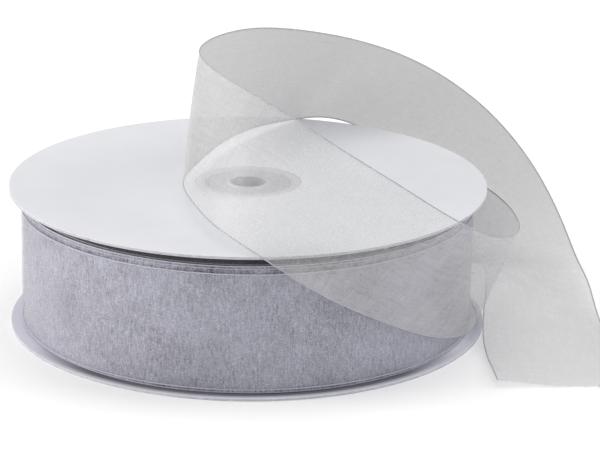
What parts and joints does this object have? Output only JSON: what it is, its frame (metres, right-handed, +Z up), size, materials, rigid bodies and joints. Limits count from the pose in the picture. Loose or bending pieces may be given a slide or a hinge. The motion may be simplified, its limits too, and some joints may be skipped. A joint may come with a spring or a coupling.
{
  "type": "ribbon spool",
  "caption": "Wide flat spool with paper-faced board flanges and a wound roll of silver-grey sheer ribbon, its free end looping over the top and down to the table.",
  "frame": {"origin": "on the spindle axis, at the underside of the bottom flange, which is the surface the spool rests on", "axes": "+Z up along the spindle axis, +X towards the side where the ribbon leaves the roll, -Y towards the front that the free end crosses"},
  "size_m": [0.1819, 0.1661, 0.0865],
  "materials": {
    "liner_paper": "matt white liner paper",
    "chipboard": "grey chipboard, cut edge",
    "core_paper": "spiral-wound kraft paper tube",
    "tape_film": "clear adhesive tape",
    "hub_plastic": "satin moulded plastic",
    "organza_wound": "many layers of sheer organza with a soft sheen",
    "organza_sheer": "sheer organza with woven edges"
  },
  "bodies": {
    "reel": {"bottom_flange_outer_facing": "liner_paper", "bottom_flange_board": "chipboard", "bottom_flange_inner_facing": "liner_paper", "top_flange_inner_facing": "liner_paper", "top_flange_board": "chipboard", "top_flange_outer_facing": "liner_paper", "core_tube": "core_paper", "starter_tape": "tape_film", "bottom_hub_plug": "hub_plastic", "top_hub_plug": "hub_plastic", "ribbon_roll": "organza_wound"},
    "ribbon_end": {"ribbon_outer_turn": "organza_wound", "ribbon_tail": "organza_sheer"}
  },
  "joints": [
    {"name": "ribbon_unwind", "type": "hinge", "parent": "reel", "child": "ribbon_end", "pos_m": [0, 0, 0.02162], "axis": [0, 0, 1], "continuous": true}
  ]
}
